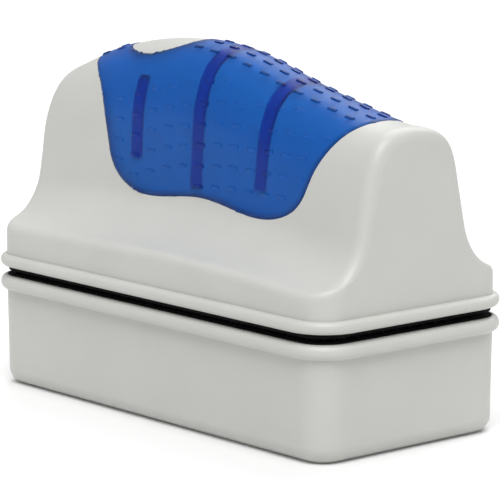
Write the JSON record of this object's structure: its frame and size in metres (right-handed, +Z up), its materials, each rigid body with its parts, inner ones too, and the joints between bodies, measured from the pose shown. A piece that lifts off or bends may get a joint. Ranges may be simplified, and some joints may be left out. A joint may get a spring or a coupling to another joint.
{
  "type": "magnetic glass cleaner",
  "caption": "Two-part magnetic aquarium glass cleaner: a white handle half with a blue ribbed soft grip and a felt face, and a boxy white floating half with a scrubbing face.",
  "frame": {"origin": "centre of the floating half's flat bottom, which the cleaner stands on with both halves together", "axes": "+X along the length, towards the low end of the handle; +Y across the width; +Z up, from the floating half to the handle"},
  "size_m": [0.078, 0.0384, 0.0547],
  "materials": {
    "white_plastic": "moulded, satin",
    "blue_grip": "translucent soft plastic, satin",
    "black_plastic": "matte moulded",
    "magnet": "nickel plated",
    "keeper_steel": "zinc plated sheet",
    "screw_steel": "bright plated",
    "felt": "pressed felt",
    "scrub": "short stiff hook pile",
    "adhesive_film": "clear adhesive film",
    "foam": "closed-cell foam"
  },
  "bodies": {
    "float_half": {"float_shell": "white_plastic", "float_lid": "white_plastic", "float_magnet_tray": "black_plastic", "float_magnet_left": "magnet", "float_magnet_right": "magnet", "float_keeper_plate": "keeper_steel", "scrub_adhesive": "adhesive_film", "scrub_pad": "scrub", "buoyancy_foam_left": "foam", "buoyancy_foam_right": "foam"},
    "handle_half": {"handle_shell": "white_plastic", "grip_pad": "blue_grip", "handle_base_plate": "white_plastic", "handle_magnet_tray": "black_plastic", "handle_magnet_left": "magnet", "handle_magnet_right": "magnet", "handle_keeper_plate": "keeper_steel", "handle_magnet_clamp": "black_plastic", "handle_screws": "screw_steel", "felt_adhesive": "adhesive_film", "felt_pad": "felt"}
  },
  "joints": [
    {"name": "halves_apart", "type": "slide", "parent": "float_half", "child": "handle_half", "axis": [0, 0, 1], "range_m": [0, 0.05]}
  ]
}
